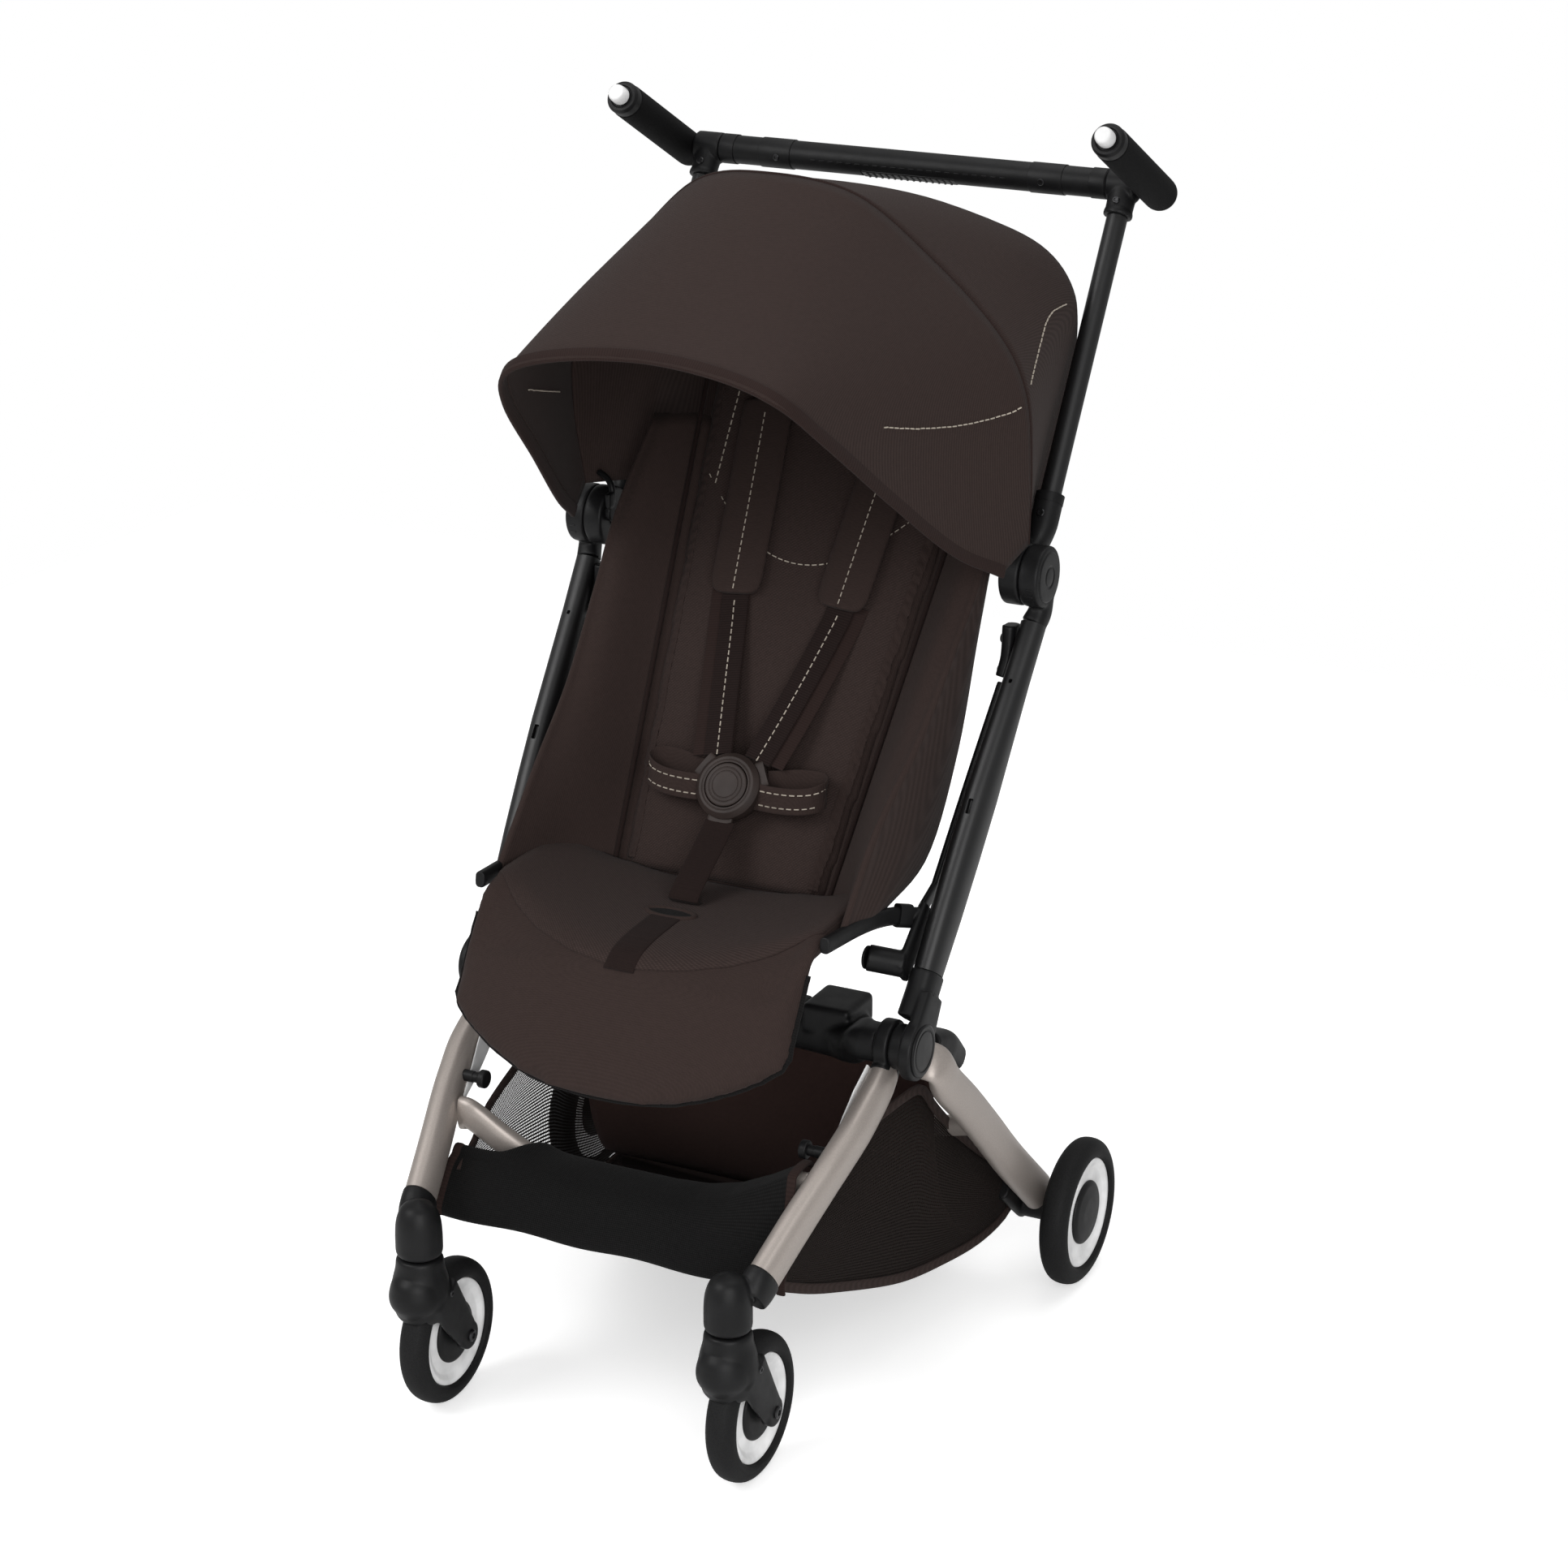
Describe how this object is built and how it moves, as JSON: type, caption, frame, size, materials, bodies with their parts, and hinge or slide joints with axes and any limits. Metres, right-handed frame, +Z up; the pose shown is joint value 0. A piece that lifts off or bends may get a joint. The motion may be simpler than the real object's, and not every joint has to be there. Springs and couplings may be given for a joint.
{
  "type": "folding travel pushchair",
  "caption": "Compact folding pushchair with a reclining padded seat, harness, canopy, leg rest, shopping basket, swivelling casters and a telescopic-style handle with side grips.",
  "frame": {"origin": "on the floor, below the middle of the object's bounding box", "axes": "+Z up, the seat faces -Y, +X is the pushchair's own left side"},
  "size_m": [0.52, 0.6787, 1.0183],
  "materials": {
    "black_plastic": "fine-grained matt",
    "black_tube": "satin powder coat",
    "champagne_metal": "satin metallic",
    "white_plastic": "smooth",
    "tyre_rubber": "matt foamed rubber",
    "foam_grip": "matt foam",
    "brown_fabric": "fine weave",
    "black_webbing": "woven strap",
    "black_mesh": "open mesh"
  },
  "bodies": {
    "main_frame": {"main_tube_left": "black_tube", "main_tube_right": "black_tube", "hub_left": "black_plastic", "hub_right": "black_plastic", "hinge_base_left": "black_plastic", "hinge_base_right": "black_plastic", "seat_mount_left": "black_plastic", "seat_mount_right": "black_plastic", "side_strut_left": "black_plastic", "side_strut_right": "black_plastic", "fold_block": "black_plastic", "seat_pad": "brown_fabric", "wing_left": "brown_fabric", "wing_right": "brown_fabric", "crotch_strap": "black_webbing", "basket": "black_mesh"},
    "handle": {"hinge_head_left": "black_plastic", "hinge_head_right": "black_plastic", "handle_tube_left": "black_tube", "handle_tube_right": "black_tube", "collar_left": "black_plastic", "collar_right": "black_plastic", "crossbar": "black_plastic", "grip_left": "foam_grip", "grip_right": "foam_grip", "grip_cap_left": "white_plastic", "grip_cap_right": "white_plastic", "canopy_clip_left": "black_plastic", "canopy_clip_right": "black_plastic", "canopy_rear": "brown_fabric"},
    "fold_trigger": {"fold_trigger": "black_plastic"},
    "canopy": {"canopy_front": "brown_fabric"},
    "backrest": {"backrest": "brown_fabric", "shoulder_strap_left": "black_webbing", "shoulder_strap_right": "black_webbing", "buckle": "black_plastic"},
    "buckle_button": {"buckle_button": "black_plastic"},
    "leg_rest": {"leg_rest": "brown_fabric"},
    "front_legs": {"front_leg_left": "champagne_metal", "front_leg_right": "champagne_metal", "caster_socket_left": "black_plastic", "caster_socket_right": "black_plastic", "front_crossbar": "champagne_metal"},
    "caster_left": {"caster_fork_left": "black_plastic"},
    "caster_right": {"caster_fork_right": "black_plastic"},
    "front_wheel_left": {"front_left_rim": "white_plastic", "front_left_tyre": "tyre_rubber"},
    "front_wheel_right": {"front_right_rim": "white_plastic", "front_right_tyre": "tyre_rubber"},
    "rear_legs": {"rear_leg_left": "champagne_metal", "rear_leg_right": "champagne_metal", "axle_housing_left": "black_plastic", "axle_housing_right": "black_plastic", "rear_crossbar": "champagne_metal"},
    "rear_wheel_left": {"rear_left_rim": "white_plastic", "rear_left_tyre": "tyre_rubber"},
    "rear_wheel_right": {"rear_right_rim": "white_plastic", "rear_right_tyre": "tyre_rubber"},
    "brake_pedal": {"brake_pedal": "black_plastic"}
  },
  "joints": [
    {"name": "handle_fold", "type": "hinge", "parent": "main_frame", "child": "handle", "pos_m": [0, 0.11, 0.66], "axis": [1, 0, 0], "range_deg": [0, 155], "deforming": ["canopy_front", "canopy_rear"]},
    {"name": "front_leg_fold", "type": "hinge", "parent": "main_frame", "child": "front_legs", "pos_m": [0, -0.10605, 0.31801], "axis": [1, 0, 0], "range_deg": [0, 45], "deforming": ["basket"]},
    {"name": "rear_leg_fold", "type": "hinge", "parent": "main_frame", "child": "rear_legs", "pos_m": [0, -0.10605, 0.31801], "axis": [-1, 0, 0], "range_deg": [0, 45], "deforming": ["basket"]},
    {"name": "backrest_recline", "type": "hinge", "parent": "main_frame", "child": "backrest", "pos_m": [0, -0.05, 0.419], "axis": [-1, 0, 0], "range_deg": [0, 40], "deforming": ["canopy_rear"]},
    {"name": "leg_rest_lift", "type": "hinge", "parent": "main_frame", "child": "leg_rest", "pos_m": [0, -0.165, 0.405], "axis": [-1, 0, 0], "range_deg": [0, 38]},
    {"name": "canopy_fold", "type": "hinge", "parent": "handle", "child": "canopy", "pos_m": [0, 0.1, 0.667], "axis": [-1, 0, 0], "range_deg": [0, 38], "deforming": ["canopy_front"]},
    {"name": "fold_trigger_press", "type": "slide", "parent": "handle", "child": "fold_trigger", "axis": [0, 0.5329, 0.8462], "range_m": [0, 0.0048], "stiffness_N_per_m": 600, "springref_m": -0.002},
    {"name": "buckle_button_press", "type": "slide", "parent": "backrest", "child": "buckle_button", "axis": [0, 0.8339, -0.5519], "range_m": [0, 0.0024], "stiffness_N_per_m": 800, "springref_m": -0.001},
    {"name": "caster_swivel_left", "type": "hinge", "parent": "front_legs", "child": "caster_left", "pos_m": [0.142, -0.3146, 0.1485], "axis": [0, 0, 1], "continuous": true},
    {"name": "caster_swivel_right", "type": "hinge", "parent": "front_legs", "child": "caster_right", "pos_m": [-0.142, -0.3146, 0.1485], "axis": [0, 0, 1], "continuous": true},
    {"name": "front_wheel_spin_left", "type": "hinge", "parent": "caster_left", "child": "front_wheel_left", "pos_m": [0.142, -0.2773, 0.062], "axis": [1, 0, 0], "continuous": true},
    {"name": "front_wheel_spin_right", "type": "hinge", "parent": "caster_right", "child": "front_wheel_right", "pos_m": [-0.142, -0.2773, 0.062], "axis": [1, 0, 0], "continuous": true},
    {"name": "rear_wheel_spin_left", "type": "hinge", "parent": "rear_legs", "child": "rear_wheel_left", "pos_m": [0.247, 0.1535, 0.066], "axis": [1, 0, 0], "continuous": true},
    {"name": "rear_wheel_spin_right", "type": "hinge", "parent": "rear_legs", "child": "rear_wheel_right", "pos_m": [-0.247, 0.1535, 0.066], "axis": [1, 0, 0], "continuous": true},
    {"name": "brake_pedal_press", "type": "hinge", "parent": "rear_legs", "child": "brake_pedal", "pos_m": [-0.1884, 0.142, 0.083], "axis": [-1, 0, 0], "range_deg": [0, 25]}
  ],
  "couplings": [
    {"joint": "front_leg_fold", "follows": "handle_fold", "ratio": 0.29},
    {"joint": "rear_leg_fold", "follows": "handle_fold", "ratio": 0.29}
  ]
}
